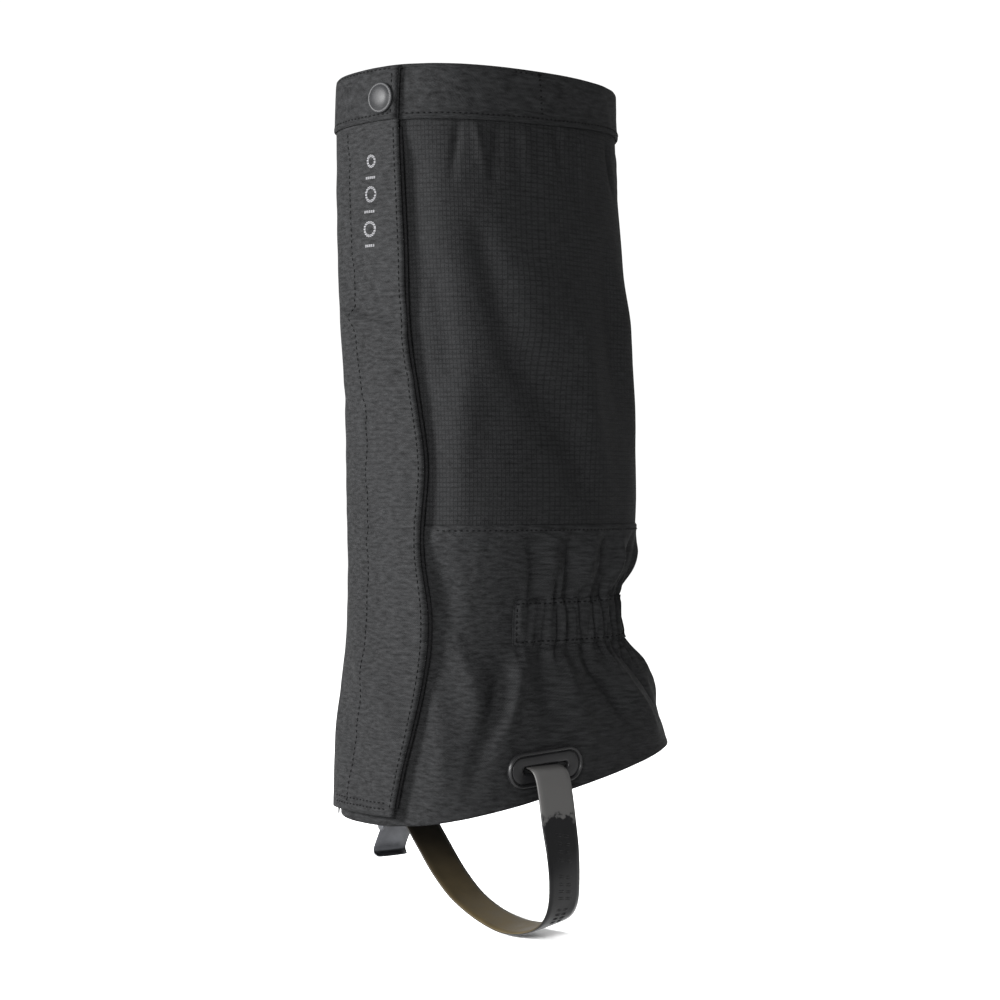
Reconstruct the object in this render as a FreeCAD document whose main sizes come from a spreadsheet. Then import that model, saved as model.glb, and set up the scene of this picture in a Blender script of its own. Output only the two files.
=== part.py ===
import FreeCAD, Part
import math
import os

import Sketcher

# A full-height mountain gaiter for the right leg, in millimetres.  +Z is up the
# leg, the toe points to -Y and the medial side of the leg is +X.  The origin is
# the middle of the ankle elastic, on the axis of the ankle.

os.makedirs("parts", exist_ok=True)
doc = FreeCAD.newDocument("gaiter")
V = FreeCAD.Vector

# ---------------------------------------------------------------- dimensions
sheet = doc.addObject("Spreadsheet::Sheet", "dims")
SIZES = {
    # heights above the ankle elastic
    "rim_height": 319, "band_seam": 287, "panel_seam": 57,
    # layers, as distances out from the inner face of the cloth
    "facing_in": -1.4, "facing_out": -0.4, "cloth_in": 0, "cloth_out": 1.0,
    "band_in": 1.2, "band_out": 2.2, "loop_in": 1.2, "loop_out": 2.4,
    "hook_in": 2.7, "hook_out": 3.9, "flap_in": 4.1, "flap_out": 5.2,
    "tab_in": 5.5, "tab_out": 6.5, "elastic_in": 1.2, "elastic_out": 2.3,
    "casing_in": 2.5, "casing_out": 3.4,
    # front opening, as places across the front
    "root_left": -43.5, "root_right": -35.2, "panel_left": -35, "underlap_left": -33.5,
    "flap_left": -30, "hook_left": -10, "hook_inset": 4, "underlap_right": 20,
    "panel_right": 20.3, "facing_right": 40.3,
    "tape_top": 283, "tape_foot": -104, "flap_top": 317.5, "flap_foot": -109,
    # ankle elastic
    "casing_half": 13.5, "elastic_half": 11.5,
    # hem
    "hem_turn": 14,
    # press stud
    "snap_x": 21.5, "snap_z": 299.8, "cap_radius": 8.8, "cap_rise": 2.6,
    "cap_seat": 0.4, "cap_edge": 0.7, "knob_radius": 2.9, "knob_waist": 2.5, "knob_height": 1.3,
    "knob_gap": 0.5, "socket_radius": 6.5, "socket_seat": -0.5, "socket_depth": 1.1,
    "stud_seat": 0.1, "post_radius": 5.8, "post_seat": -0.65, "post_depth": 1.1,
    # moulded eyelet for the strap
    "eyelet_y": -5.3, "eyelet_z": -82.6, "eyelet_tilt": 3.4, "eyelet_long": 54,
    "eyelet_wide": 20, "eyelet_face": 68.6, "eyelet_gauge": 2.6, "eyelet_back": 64.5,
    "eyelet_back_long": 50, "eyelet_back_wide": 17, "eyelet_back_gauge": 1.6,
    "slot_long": 33, "slot_wide": 5, "barrel_wall": 1.5, "barrel_gap": 0.2,
    # underfoot strap
    "strap_y": -6, "strap_width": 25, "strap_gauge": 1.8,
    "stop_x": 54.7, "stop_z": -82, "stop_gauge": 5, "stop_tall": 7, "stop_margin": 3,
    # cam buckle
    "rail_inner": 13.1, "rail_gauge": 1.3, "bar_x": -67, "strap_bar_z": -117.5,
    "tab_bar_z": -107.5, "bar_radius": 1.5, "rail_left": -71, "rail_right": -64.5,
    "rail_top": -104.5, "rail_foot": -130, "anvil_left": -70, "anvil_gauge": 1.6,
    "anvil_top": -121, "anvil_bite": 0.5, "pivot_x": -75.6, "pivot_z": -124,
    "ear_reach": 3.2, "ear_half": 4.5, "pin_radius": 1.25, "pin_bore": 1.3, "pin_head": 0.8,
    "bore_length": 40,
    # buckle lever
    "cam_radius": 3.6, "cam_margin": 0.5, "lever_half": 12.4, "flange_gauge": 1.2,
    "flange_left": -80, "flange_right": -72.5, "flange_top": -123, "flange_foot": -134,
    "plate_gauge": 1.4, "plate_long": 20.8, "plate_x": -73.6, "plate_z": -129.4, "plate_lean": 30,
    "lip_long": 7, "lip_x": -84.2, "lip_z": -146.4, "lip_lean": -40,
    # webbing tab
    "tab_gauge": 1.3, "tab_gap": 0.1, "tab_half": 12, "tab_top": -86,
}
for row, (name, value) in enumerate(SIZES.items(), start=1):
    sheet.set(f"A{row}", name)
    sheet.set(f"B{row}", str(value))
    sheet.setAlias(f"B{row}", name)
doc.recompute()


def size(name):
    return float(getattr(sheet, name))


def bind(obj, **expressions):
    """Ties properties of an object to cells of the sheet."""
    for prop, expression in expressions.items():
        obj.setExpression(prop.replace("__", "."), expression)


# ---------------------------------------------------------------- leg sections
# height, distance to the front, distance to the back, half width
SECTIONS = [
    (-125, 83, 142, 67), (-92, 83, 141, 67.5), (-62, 81.5, 133, 66), (-34, 78, 118, 62),
    (-13, 77, 100, 57), (13, 75, 94.5, 57), (35, 73.5, 106, 61), (71, 73.5, 109.5, 64),
    (110, 74, 107, 63.5), (191, 80, 102, 62), (287, 83, 94, 59), (325, 82, 94, 58),
]
BLUNTNESS = 2.5          # superellipse power of the front half

# free edge of the outer flap: height and place across the front
FREE_EDGE = [
    (-125, 26), (-83, 34), (-59, 38.5), (-30, 40.5), (5, 40), (45, 36.5), (88, 39.5),
    (123, 36.5), (165, 33), (218, 33), (285, 31), (330, 31.5),
]


def smooth(table, height):
    """The row of a table at any height, on a smooth curve through its rows."""
    last = len(table) - 2
    index = 0
    while index < last and table[index + 1][0] < height:
        index += 1
    low, high = table[index], table[index + 1]
    before = table[max(index - 1, 0)]
    after = table[min(index + 2, len(table) - 1)]
    step = high[0] - low[0]
    share = (height - low[0]) / step
    row = []
    for column in range(1, len(low)):
        slope_low = (high[column] - before[column]) / (high[0] - before[0]) * step
        slope_high = (after[column] - low[column]) / (after[0] - low[0]) * step
        square = share * share
        cube = square * share
        row.append((2 * cube - 3 * square + 1) * low[column]
                   + (cube - 2 * square + share) * slope_low
                   + (3 * square - 2 * cube) * high[column]
                   + (cube - square) * slope_high)
    return row


def skin_point(height, offset, angle):
    """A point of the leg's section: blunt in front, elliptical behind."""
    front, back, half = smooth(SECTIONS, height)
    sine = math.sin(angle)
    cosine = math.cos(angle)
    if cosine > 0:
        power = 2 / BLUNTNESS
        across = math.copysign(abs(sine) ** power, sine)
        return (half + offset) * across, -(front + offset) * cosine ** power
    return (half + offset) * sine, -(back + offset) * cosine


def front_angle(height, offset, across):
    """The angle round the section of a place across the front."""
    half = smooth(SECTIONS, height)[2]
    sine = (abs(across) / (half + offset)) ** (BLUNTNESS / 2)
    return math.copysign(math.asin(sine), across)


def hem_height(y):
    """The hem line, which rises from the instep to the heel."""
    share = (y + 83) / 224
    return -115.5 + 47 * share - 9.5 * share * share


def leaf(label, inner, outer, start, end, foot, top, columns, rows):
    """A closed sheet of cloth between two layers.

    start and end give the angles of its side edges at a height, and foot and top
    give the heights of its lower and upper edges at a distance back from the toe.
    """
    grids = []
    for cell in (inner, outer):
        offset = size(cell)
        grid = []
        for row in range(rows + 1):
            rise = row / rows
            height = foot(0) + (top(0) - foot(0)) * rise
            line = []
            for column in range(columns + 1):
                for _ in range(3):
                    low = start(height, offset)
                    angle = low + (end(height, offset) - low) * column / columns
                    y = skin_point(height, offset, angle)[1]
                    height = foot(y) + (top(y) - foot(y)) * rise
                x, y = skin_point(height, offset, angle)
                line.append(V(x, y, height))
            grid.append(line)
        grids.append(grid)
    faces = []
    for grid in grids:
        surface = Part.BSplineSurface()
        surface.interpolate(grid)
        faces.append(surface.toShape())
    rims = [(surface_edges(face)) for face in faces]
    for side in range(4):
        faces.append(Part.makeRuledSurface(rims[0][side], rims[1][side]))
    cloth = Part.makeShell(faces)
    cloth.sewShape()
    solid = Part.makeSolid(cloth)
    if solid.Volume < 0:
        solid.reverse()
    obj = doc.addObject("Part::Feature", label)
    obj.Shape = solid
    return obj


def surface_edges(face):
    """The four border curves of a patch, in a fixed order."""
    surface = face.Surface
    u_low, u_high, v_low, v_high = surface.bounds()
    return [surface.uIso(u_low).toShape(v_low, v_high), surface.uIso(u_high).toShape(v_low, v_high),
            surface.vIso(v_low).toShape(u_low, u_high), surface.vIso(v_high).toShape(u_low, u_high)]


def at_front(cell):
    """The angle of a fixed place across the front."""
    across = size(cell)
    return lambda height, offset: front_angle(height, offset, across)


def round_back(cell):
    """The same, reached by going round behind the leg."""
    across = size(cell)
    return lambda height, offset: 2 * math.pi + front_angle(height, offset, across)


def free_edge(inset):
    """The angle of the flap's free edge, moved in by an inset."""
    return lambda height, offset: front_angle(
        height, offset, smooth(FREE_EDGE, height)[0] - inset)


def level(number):
    return lambda y: number


def above_hem(rise):
    return lambda y: hem_height(y) + rise


def block(name, x_low, x_high, y_low, y_high, z_low, z_high):
    """A box whose six faces are expressions of the sheet."""
    box = doc.addObject("Part::Box", name)
    box.setExpression("Length", f"({x_high}) - ({x_low})")
    box.setExpression("Width", f"({y_high}) - ({y_low})")
    box.setExpression("Height", f"({z_high}) - ({z_low})")
    box.setExpression("Placement.Base.x", x_low)
    box.setExpression("Placement.Base.y", y_low)
    box.setExpression("Placement.Base.z", z_low)
    return box


def cut(name, base, *tools):
    """The base with each tool taken away in turn."""
    for number, tool in enumerate(tools, start=1):
        result = doc.addObject("Part::Cut", name if number == len(tools) else name + "_cut")
        result.Base = base
        result.Tool = tool
        base = result
    return base


def joined(name, *shapes):
    fuse = doc.addObject("Part::MultiFuse", name)
    fuse.Shapes = list(shapes)
    return fuse


nodes = []


def node(obj, label):
    """Registers an object as one sub-part, named by its label."""
    obj.Label = label
    nodes.append(obj)
    return obj


# ---------------------------------------------------------------- cloth tube
rim = level(size("rim_height"))
band_seam = level(size("band_seam"))
panel_seam = level(size("panel_seam"))
hem = above_hem(0)
node(leaf("upper_panel", "cloth_in", "cloth_out", at_front("panel_right"),
          round_back("panel_left"), panel_seam, rim, 40, 14), "upper_panel")
lower_blank = leaf("lower_blank", "cloth_in", "cloth_out", at_front("panel_right"),
                   round_back("panel_left"), hem, panel_seam, 40, 22)

# ---------------------------------------------------------------- strap eyelet


def stadium(body, plane_role, name, long_expression, wide_expression):
    """A sketch of a round-ended slot, centred on the body's origin."""
    sketch = body.newObject("Sketcher::SketchObject", name)
    plane = [p for p in body.Origin.OriginFeatures if p.Role == plane_role][0]
    sketch.AttachmentSupport = [(plane, "")]
    sketch.MapMode = "FlatFace"
    z_axis = V(0, 0, 1)
    right = Part.ArcOfCircle(Part.Circle(V(10, 0, 0), z_axis, 5), -math.pi / 2, math.pi / 2)
    left = Part.ArcOfCircle(Part.Circle(V(-10, 0, 0), z_axis, 5), math.pi / 2, 1.5 * math.pi)
    upper = Part.LineSegment(V(10, 5, 0), V(-10, 5, 0))
    lower = Part.LineSegment(V(-10, -5, 0), V(10, -5, 0))
    sketch.addGeometry([right, upper, left, lower])
    link = Sketcher.Constraint
    sketch.addConstraint([
        link("Tangent", 0, 2, 1, 1), link("Tangent", 1, 2, 2, 1),
        link("Tangent", 2, 2, 3, 1), link("Tangent", 3, 2, 0, 1),
        link("Horizontal", 1), link("Symmetric", 0, 3, 2, 3, -1, 1)])
    radius = sketch.addConstraint(link("Radius", 0, 5))
    reach = sketch.addConstraint(link("DistanceX", -1, 1, 0, 3, 10))
    sketch.setExpression(f"Constraints[{radius}]", f"({wide_expression}) / 2")
    sketch.setExpression(f"Constraints[{reach}]", f"(({long_expression}) - ({wide_expression})) / 2")
    return sketch


def slot_block(name, long_expression, wide_expression, x_low, x_high):
    """A round-ended bar along X through the eyelet's place on the medial side."""
    body = doc.addObject("PartDesign::Body", name)
    sketch = stadium(body, "YZ_Plane", name + "_outline", long_expression, wide_expression)
    pad = body.newObject("PartDesign::Pad", name + "_pad")
    pad.Profile = sketch
    pad.setExpression("Length", f"({x_high}) - ({x_low})")
    body.Placement.Rotation = FreeCAD.Rotation(V(1, 0, 0), size("eyelet_tilt"))
    bind(body, Placement__Base__x=x_low, Placement__Base__y="dims.eyelet_y",
         Placement__Base__z="dims.eyelet_z")
    return body


barrel_long = "dims.slot_long + 2 * dims.barrel_wall"
barrel_wide = "dims.slot_wide + 2 * dims.barrel_wall"
face = "dims.eyelet_face"
front_bar = slot_block("eyelet_front_bar", "dims.eyelet_long", "dims.eyelet_wide",
                       face, f"{face} + dims.eyelet_gauge")
back_bar = slot_block("eyelet_back_bar", "dims.eyelet_back_long", "dims.eyelet_back_wide",
                      "dims.eyelet_back - dims.eyelet_back_gauge", "dims.eyelet_back")
barrel_bar = slot_block("eyelet_barrel_bar", barrel_long, barrel_wide, "dims.eyelet_back", face)
inside = "dims.eyelet_back - 14"
outside = "dims.eyelet_face + 20"
hole_bar = slot_block("cloth_hole_bar", barrel_long + " + dims.barrel_gap",
                      barrel_wide + " + dims.barrel_gap", inside, outside)
slot_bar = slot_block("eyelet_slot_bar", "dims.slot_long", "dims.slot_wide", inside, outside)

node(cut("lower_cut", lower_blank, hole_bar), "lower_panel")
node(cut("front_plate", front_bar, slot_bar), "eyelet_front")
node(cut("back_plate", back_bar, slot_bar), "eyelet_back")
node(cut("barrel", barrel_bar, slot_bar), "eyelet_barrel")

# ---------------------------------------------------------------- press stud
# The stud's axis stands on the band where the flap lies over it.


def snap_frame(offset):
    """The place on the press stud's one axis at a layer of the front, facing outward."""
    height = size("snap_z")
    outer = size("tab_out")
    angle = front_angle(height, outer, size("snap_x"))
    x, y = skin_point(height, outer, angle)
    ahead_x, ahead_y = skin_point(height, outer, angle + 0.02)
    tangent = V(ahead_x - x, ahead_y - y, 0).normalize()
    outward = tangent.cross(V(0, 0, 1)).normalize()
    place = V(x, y, height) + outward * (offset - outer)
    return FreeCAD.Placement(place, FreeCAD.Rotation(V(0, 0, 1), outward))


def turned(name, profile, place):
    """A round part about local Z: profile is a list of (radius, height) expressions."""
    body = doc.addObject("PartDesign::Body", name)
    sketch = body.newObject("Sketcher::SketchObject", name + "_profile")
    plane = [p for p in body.Origin.OriginFeatures if p.Role == "XZ_Plane"][0]
    sketch.AttachmentSupport = [(plane, "")]
    sketch.MapMode = "FlatFace"
    corners = [V(value(r), value(z), 0) for r, z in profile]
    count = len(corners)
    for index in range(count):
        sketch.addGeometry(Part.LineSegment(corners[index], corners[(index + 1) % count]))
    for index in range(count):
        following = (index + 1) % count
        sketch.addConstraint(Sketcher.Constraint("Coincident", index, 2, following, 1))
    for index, (r, z) in enumerate(profile):
        for kind, expression, number in (("DistanceX", r, corners[index].x),
                                         ("DistanceY", z, corners[index].y)):
            place_of = sketch.addConstraint(Sketcher.Constraint(kind, -1, 1, index, 1, number))
            sketch.setExpression(f"Constraints[{place_of}]", expression)
    turn = body.newObject("PartDesign::Revolution", name + "_turn")
    turn.Profile = sketch
    turn.ReferenceAxis = (sketch, ["V_Axis"])
    turn.Angle = 360
    body.Placement = place
    return body


def value(expression):
    """The number an expression of the sheet gives, for a sketch's first shape."""
    return float(sheet.evalExpression(expression))


on_tab = snap_frame(size("tab_out"))
under_flap = snap_frame(size("flap_in"))
on_band = snap_frame(size("band_out"))
behind_cloth = snap_frame(size("cloth_in"))

cap = "dims.cap_radius"
seat = "dims.cap_seat"
rise = "dims.cap_rise"
node(turned("snap_cap_body", [
    ("0", seat), (cap, seat), (cap, f"{seat} + dims.cap_edge"),
    (f"{cap} * 0.93", f"{rise} * 0.65"), (f"{cap} * 0.7", f"{rise} * 0.87"),
    (f"{cap} * 0.4", f"{rise} * 0.97"), ("0", rise)], on_tab), "snap_cap")
cavity = "(dims.knob_radius + dims.knob_gap)"
seat = "dims.socket_seat"
floor = "dims.socket_seat - dims.socket_depth"
node(turned("snap_socket_body", [
    (cavity, seat), (cavity, floor), ("dims.socket_radius", floor),
    ("dims.socket_radius", seat)], under_flap), "snap_socket")
knob = "dims.knob_radius"
seat = "dims.stud_seat"
crown = f"{seat} + dims.knob_height"
node(turned("snap_stud_body", [
    ("0", seat), ("dims.knob_waist", seat), (knob, f"{seat} + dims.knob_height / 2"),
    ("dims.knob_waist", crown), ("0", crown)], on_band), "snap_stud")
post = "dims.post_radius"
seat = "dims.post_seat"
node(turned("snap_post_body", [
    ("0", seat), (post, seat), (post, f"{seat} - dims.post_depth / 2"),
    (f"{post} * 0.8", f"{seat} - dims.post_depth"), ("0", f"{seat} - dims.post_depth")],
    behind_cloth), "snap_post")

# ---------------------------------------------------------------- front opening
foot = level(size("flap_foot"))
flap_top = level(size("flap_top"))
tape_foot = level(size("tape_foot"))
tape_top = level(size("tape_top"))
node(leaf("underlap", "cloth_in", "cloth_out", at_front("underlap_left"),
          at_front("underlap_right"), hem, rim, 12, 40), "underlap")
node(leaf("loop_tape", "loop_in", "loop_out", at_front("hook_left"), free_edge(0),
          tape_foot, tape_top, 8, 36), "loop_tape")
node(leaf("hook_tape", "hook_in", "hook_out", at_front("hook_left"),
          free_edge(size("hook_inset")),
          tape_foot, tape_top, 8, 36), "hook_tape")
node(leaf("outer_flap", "flap_in", "flap_out", at_front("flap_left"), free_edge(0),
          foot, flap_top, 12, 40), "outer_flap")
node(leaf("band_tab", "tab_in", "tab_out", at_front("flap_left"), free_edge(0),
          band_seam, flap_top, 12, 4), "band_tab")
node(leaf("flap_root", "loop_in", "flap_out", at_front("root_left"), at_front("root_right"),
          foot, flap_top, 4, 40), "flap_root")

# ---------------------------------------------------------------- top band
band_left = at_front("underlap_left")
band_right = round_back("root_left")
node(leaf("top_band", "band_in", "band_out", band_left,
          lambda height, offset: band_right(height, offset) - 0.01,
          band_seam, rim, 44, 4), "top_band")
node(leaf("band_facing", "facing_in", "facing_out", at_front("facing_right"),
          round_back("panel_left"), band_seam, rim, 40, 4), "band_facing")

# ---------------------------------------------------------------- ankle elastic
ELASTIC_START = 1.40     # angle of the medial end, just ahead of the side
ELASTIC_END = 2 * math.pi - 1.40


def fixed(angle):
    return lambda height, offset: angle


for label, half, margin in (("ankle_elastic", "elastic_half", 0.02),
                            ("ankle_casing", "casing_half", 0)):
    inner = "elastic_in" if margin else "casing_in"
    outer = "elastic_out" if margin else "casing_out"
    node(leaf(label, inner, outer, fixed(ELASTIC_START + margin), fixed(ELASTIC_END - margin),
              level(-size(half)), level(size(half)), 34, 4), label)

# ---------------------------------------------------------------- hem facing
facing_blank = leaf("facing_blank", "facing_in", "facing_out", at_front("facing_right"),
                    round_back("panel_left"), hem, above_hem(size("hem_turn")), 40, 5)
node(cut("facing_cut", facing_blank, hole_bar), "hem_facing")

# ---------------------------------------------------------------- underfoot strap
# centre line in the X-Z plane, from inside the eyelet, under the boot, over the
# buckle's strap bar and down to the short tail that the cam grips
STRAP_ROUTE = [
    (60, -82), (70.5, -82.6), (76.2, -86.5), (79.6, -97), (83, -114), (86.3, -130), (87.6, -146),
    (86.2, -159), (80.5, -168), (70, -173.6), (56, -176.9), (42, -177.8), (27, -176), (11, -172),
    (-6, -165), (-23, -153.3), (-38, -139.5), (-49.5, -128.5), (-57.5, -121), (-63.4, -115.8),
    (-67, -114.4), (-70.5, -117.6), (-71.1, -122), (-71, -127.5),
]


def strap_solid():
    half_gauge = size("strap_gauge") / 2
    line = Part.BSplineCurve()
    line.interpolate([V(x, 0, z) for x, z in STRAP_ROUTE])
    samples = 90
    inner = []
    outer = []
    for step in range(samples + 1):
        share = step / samples
        parameter = line.FirstParameter + share * (line.LastParameter - line.FirstParameter)
        point = line.value(parameter)
        along = line.tangent(parameter)[0]
        side = along.cross(V(0, 1, 0)).normalize()
        inner.append(point - side * half_gauge)
        outer.append(point + side * half_gauge)
    near = Part.BSplineCurve()
    near.interpolate(inner)
    far = Part.BSplineCurve()
    far.interpolate(outer)
    edges = [near.toShape(), Part.makeLine(inner[-1], outer[-1]), far.toShape(),
             Part.makeLine(outer[0], inner[0])]
    face = Part.Face(Part.Wire(Part.sortEdges(edges)[0]))
    low = size("strap_y") - size("strap_width") / 2
    face.translate(V(0, low, 0))
    return face.extrude(V(0, size("strap_width"), 0))


strap = doc.addObject("Part::Feature", "underfoot_strap")
strap.Shape = strap_solid()
node(strap, "underfoot_strap")

strap_stop = doc.addObject("Part::Box", "strap_stop")
bind(strap_stop, Length="dims.stop_gauge", Width="dims.strap_width + 2 * dims.stop_margin",
     Height="dims.stop_tall", Placement__Base__x="dims.stop_x",
     Placement__Base__y="dims.strap_y - dims.strap_width / 2 - dims.stop_margin",
     Placement__Base__z="dims.stop_z - dims.stop_tall / 2")
node(strap_stop, "strap_stop")

# ---------------------------------------------------------------- cam buckle


def bar(name, x, z, radius, length):
    """A round bar along Y, centred on the strap."""
    rod = doc.addObject("Part::Cylinder", name)
    rod.Placement.Rotation = FreeCAD.Rotation(V(1, 0, 0), -90)
    bind(rod, Radius=radius, Height=length, Placement__Base__x=x,
         Placement__Base__y=f"dims.strap_y - ({length}) / 2", Placement__Base__z=z)
    return rod


def rail(name, low_y):
    """A side rail of the frame, with an ear that holds the pivot pin."""
    upright = block(name + "_upright", "dims.rail_left", "dims.rail_right",
                    low_y, f"{low_y} + dims.rail_gauge", "dims.rail_foot", "dims.rail_top")
    ear = block(name + "_ear", "dims.pivot_x - dims.ear_reach", "dims.rail_left + 1",
                low_y, f"{low_y} + dims.rail_gauge",
                "dims.pivot_z - dims.ear_half", "dims.pivot_z + dims.ear_half")
    return joined(name, upright, ear)


full_width = "2 * (dims.rail_inner + dims.rail_gauge)"
pivot = ("dims.pivot_x", "dims.pivot_z")
rail_front = rail("rail_front", "dims.strap_y - dims.rail_inner - dims.rail_gauge")
rail_rear = rail("rail_rear", "dims.strap_y + dims.rail_inner")
strap_bar = bar("strap_bar", "dims.bar_x", "dims.strap_bar_z", "dims.bar_radius", full_width)
tab_bar = bar("tab_bar", "dims.bar_x", "dims.tab_bar_z", "dims.bar_radius", full_width)
anvil = block("anvil", "dims.anvil_left", "dims.anvil_left + dims.anvil_gauge",
              "dims.strap_y - dims.rail_inner - dims.anvil_bite",
              "dims.strap_y + dims.rail_inner + dims.anvil_bite",
              "dims.rail_foot", "dims.anvil_top")
pin_bore = bar("pin_bore", *pivot, "dims.pin_bore", "dims.bore_length")
frame = joined("frame_blank", rail_front, rail_rear, strap_bar, tab_bar, anvil)
node(cut("buckle_frame", frame, pin_bore), "buckle_frame")
node(bar("pin", *pivot, "dims.pin_radius", full_width + " + 2 * dims.pin_head"), "buckle_pin")

# lever: a cam barrel on the pin, two side flanges and a sloping thumb plate with a lip
lever_bore = bar("lever_bore", *pivot, "dims.pin_bore", "dims.bore_length")
cam = bar("cam", *pivot, "dims.cam_radius", "2 * (dims.lever_half - dims.cam_margin)")


def flange(name, low_y):
    return block(name, "dims.flange_left", "dims.flange_right", low_y,
                 f"{low_y} + dims.flange_gauge", "dims.flange_foot", "dims.flange_top")


def leaning(name, long, x, z, lean):
    """A plate as wide as the lever that hangs from a corner and leans out."""
    plate = doc.addObject("Part::Box", name)
    plate.Placement.Rotation = FreeCAD.Rotation(V(0, 1, 0), 180 + size(lean))
    bind(plate, Length="dims.plate_gauge", Width="2 * dims.lever_half", Height=f"dims.{long}",
         Placement__Base__x=f"dims.{x}", Placement__Base__y="dims.strap_y - dims.lever_half",
         Placement__Base__z=f"dims.{z}")
    return plate


front_flange = flange("front_flange", "dims.strap_y - dims.lever_half")
rear_flange = flange("rear_flange", "dims.strap_y + dims.lever_half - dims.flange_gauge")
thumb_plate = leaning("thumb_plate", "plate_long", "plate_x", "plate_z", "plate_lean")
thumb_lip = leaning("thumb_lip", "lip_long", "lip_x", "lip_z", "lip_lean")
lever = joined("lever_blank", cam, front_flange, rear_flange, thumb_plate, thumb_lip)
node(cut("buckle_lever", lever, lever_bore), "buckle_lever")

# webbing tab that hangs the buckle from the outside of the hem
loop_radius = "(dims.bar_radius + dims.tab_gauge)"
tab_left = f"dims.bar_x - {loop_radius} - dims.tab_gap - 0.1"
tab_low = "dims.strap_y - dims.tab_half"
tab_high = "dims.strap_y + dims.tab_half"
tab_loop = bar("tab_loop", "dims.bar_x", "dims.tab_bar_z", loop_radius, "2 * dims.tab_half")
tab_strip = block("tab_strip", tab_left, f"{tab_left} + dims.tab_gauge", tab_low, tab_high,
                  "dims.tab_bar_z - 1", "dims.tab_top")
tab_link = block("tab_link", tab_left, "dims.bar_x", tab_low, tab_high,
                 "dims.tab_bar_z - 1", "dims.tab_bar_z + 1")
tab_bore = bar("tab_bore", "dims.bar_x", "dims.tab_bar_z", "dims.bar_radius + dims.tab_gap",
               "dims.bore_length")
tab_blank = joined("tab_blank", tab_loop, tab_strip, tab_link)
node(cut("tab_cut", tab_blank, tab_bore), "buckle_tab")

# ---------------------------------------------------------------- export
doc.recompute()
failed = []
for obj in doc.Objects:
    if "Invalid" in obj.State or "Error" in obj.State:
        failed.append(obj.Name)
if failed:
    raise RuntimeError(f"these objects failed: {failed}")
for obj in nodes:
    shape = obj.Shape
    if shape.isNull() or not shape.isValid() or not shape.Solids:
        raise RuntimeError(f"{obj.Label} has no valid solid")
    print(obj.Label, len(shape.Solids), round(shape.Volume))
    shape.exportStep(f"parts/{obj.Label}.step")
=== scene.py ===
import math

import bpy
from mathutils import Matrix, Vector, noise


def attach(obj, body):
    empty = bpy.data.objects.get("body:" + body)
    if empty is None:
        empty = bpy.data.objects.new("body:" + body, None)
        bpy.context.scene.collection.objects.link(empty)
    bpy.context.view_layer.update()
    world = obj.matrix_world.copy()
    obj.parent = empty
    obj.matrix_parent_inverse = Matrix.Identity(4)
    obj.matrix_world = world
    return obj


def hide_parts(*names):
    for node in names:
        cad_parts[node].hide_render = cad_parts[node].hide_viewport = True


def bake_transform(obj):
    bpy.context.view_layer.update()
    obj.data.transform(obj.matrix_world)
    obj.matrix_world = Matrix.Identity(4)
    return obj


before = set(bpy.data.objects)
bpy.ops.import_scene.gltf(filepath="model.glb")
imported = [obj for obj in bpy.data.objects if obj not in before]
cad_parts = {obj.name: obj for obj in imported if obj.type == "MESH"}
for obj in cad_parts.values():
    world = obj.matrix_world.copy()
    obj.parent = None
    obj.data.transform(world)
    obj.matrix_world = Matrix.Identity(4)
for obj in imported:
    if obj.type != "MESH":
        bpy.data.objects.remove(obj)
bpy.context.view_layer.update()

# A mountain gaiter for the right leg.  Sizes are in millimetres until a mesh is
# made; +Z is up the leg, the toe points to -Y and the medial side is +X.
MM = 0.001
TAU = 2 * math.pi
GAITER, FLAP, LEVER = "gaiter", "flap", "lever"

# ---------- camera
# The camera stands level, 52 degrees round from the toe on the medial side.
CAMERA_TURN = math.radians(52)
CAMERA_DISTANCE = 1350
CAMERA_HEIGHT = 71
AIM_OFFSET = 12.6        # the picture's middle lies this far to the right of the leg's axis
to_camera = Vector((math.sin(CAMERA_TURN), -math.cos(CAMERA_TURN), 0))
to_right = Vector((math.cos(CAMERA_TURN), math.sin(CAMERA_TURN), 0))
aim = to_right * AIM_OFFSET + Vector((0, 0, CAMERA_HEIGHT))
camera_data = bpy.data.cameras.new("camera")
camera_data.lens = 81
camera_data.sensor_width = 36
camera = bpy.data.objects.new("camera", camera_data)
camera.location = (aim + to_camera * CAMERA_DISTANCE) * MM
camera.rotation_mode = "QUATERNION"
camera.rotation_quaternion = (-to_camera).to_track_quat("-Z", "Y")
bpy.context.scene.collection.objects.link(camera)
bpy.context.scene.camera = camera

# ---------- leg shape
# height, distance to the front, distance to the back, half width
SECTIONS = [
    (-125, 83, 142, 67), (-92, 83, 141, 67.5), (-62, 81.5, 133, 66), (-34, 78, 118, 62),
    (-13, 77, 100, 57), (13, 75, 94.5, 57), (35, 73.5, 106, 61), (71, 73.5, 109.5, 64),
    (110, 74, 107, 63.5), (191, 80, 102, 62), (287, 83, 94, 59), (325, 82, 94, 58),
]
BLUNTNESS = 2.5          # superellipse power of the front half
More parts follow.
